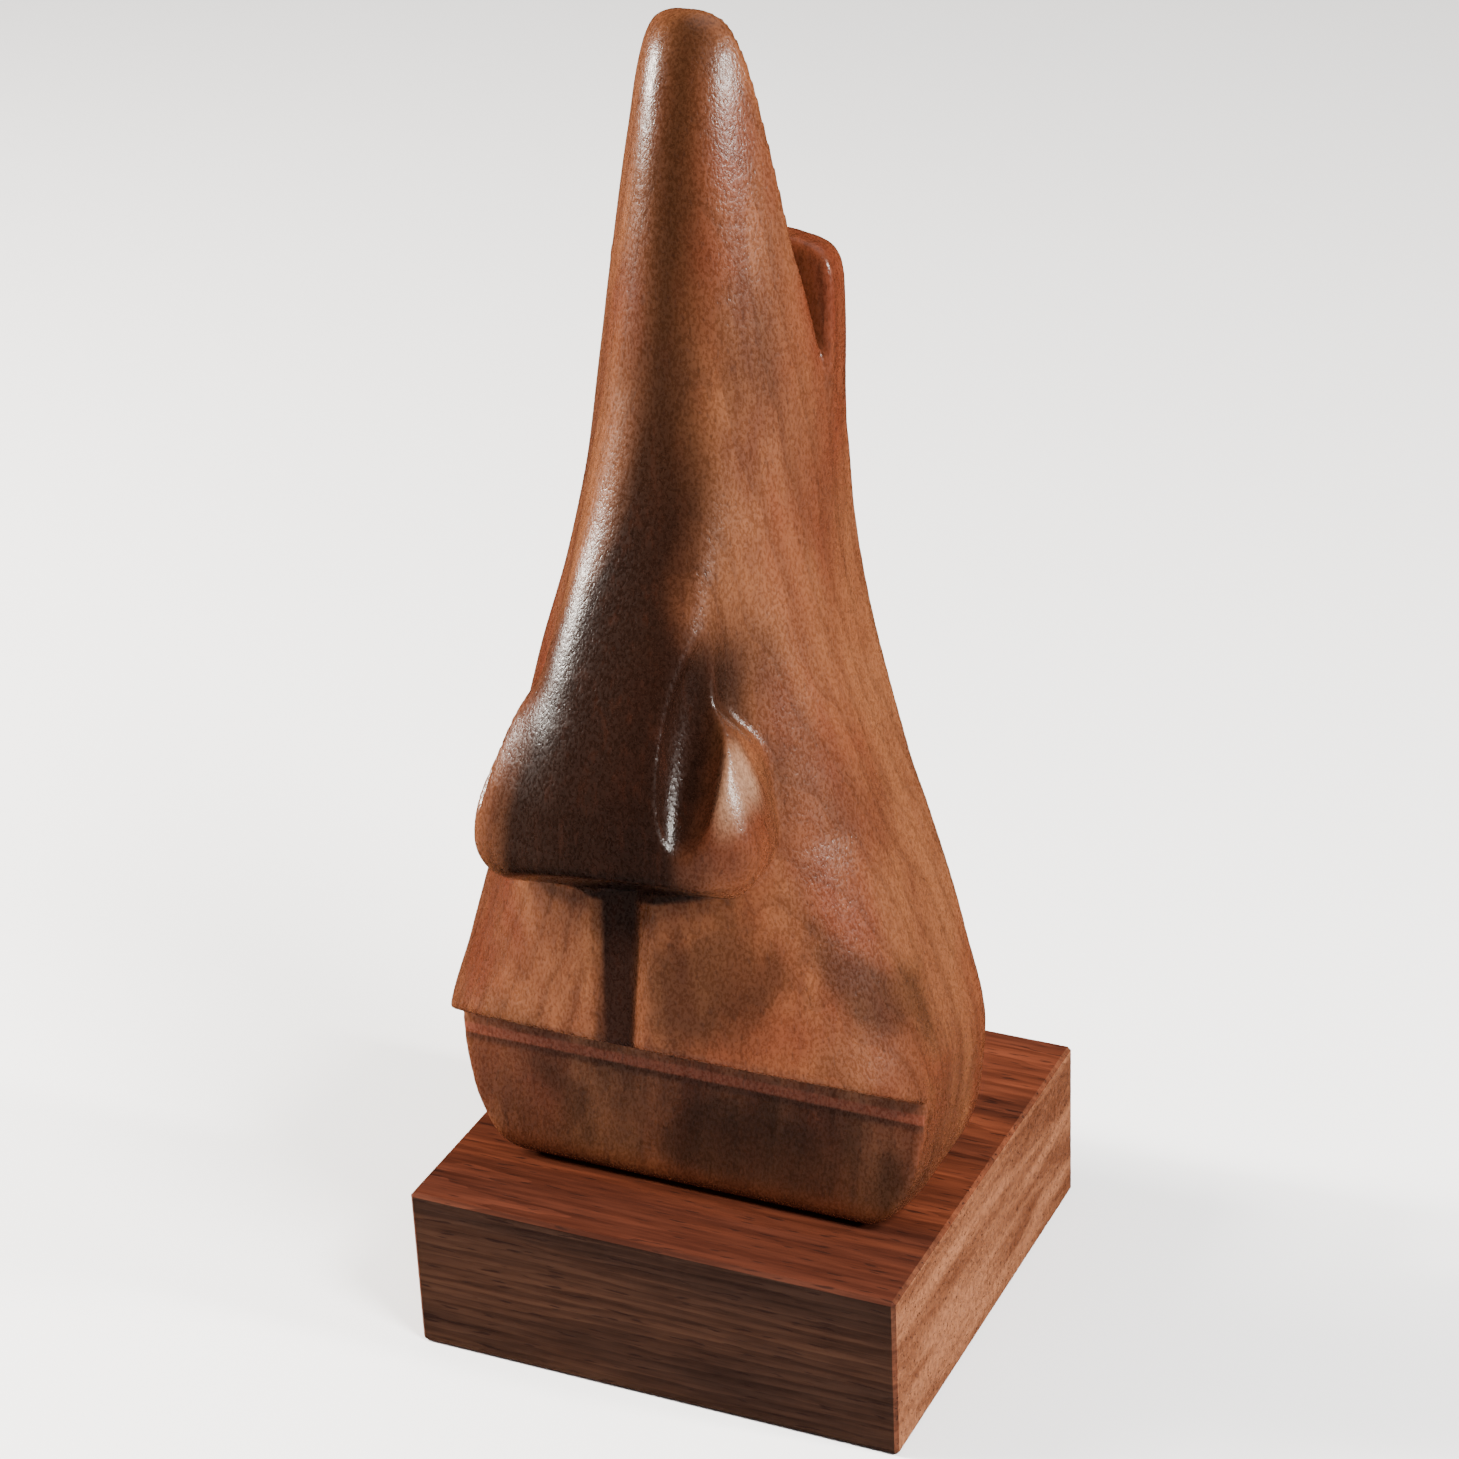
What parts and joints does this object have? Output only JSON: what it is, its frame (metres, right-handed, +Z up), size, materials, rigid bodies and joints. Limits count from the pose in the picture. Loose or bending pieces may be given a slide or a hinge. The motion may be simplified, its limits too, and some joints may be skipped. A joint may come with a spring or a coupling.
{
  "type": "eyeglasses display stand",
  "caption": "Desk stand carved in wood as a large nose with lips and chin on a square block, over which a pair of glasses rests on its bridge.",
  "frame": {"origin": "centre of the base block's underside", "axes": "+Z up, the nose points along -Y, +X to the right as seen from in front of the nose"},
  "size_m": [0.057, 0.0611, 0.1477],
  "materials": {
    "base_wood": "polished rosewood, satin gloss",
    "head_wood": "polished rosewood, satin gloss",
    "screw_steel": "zinc plated"
  },
  "bodies": {
    "root": {"base_block": "base_wood", "carved_head": "head_wood", "left_screw": "screw_steel", "right_screw": "screw_steel"}
  },
  "joints": []
}
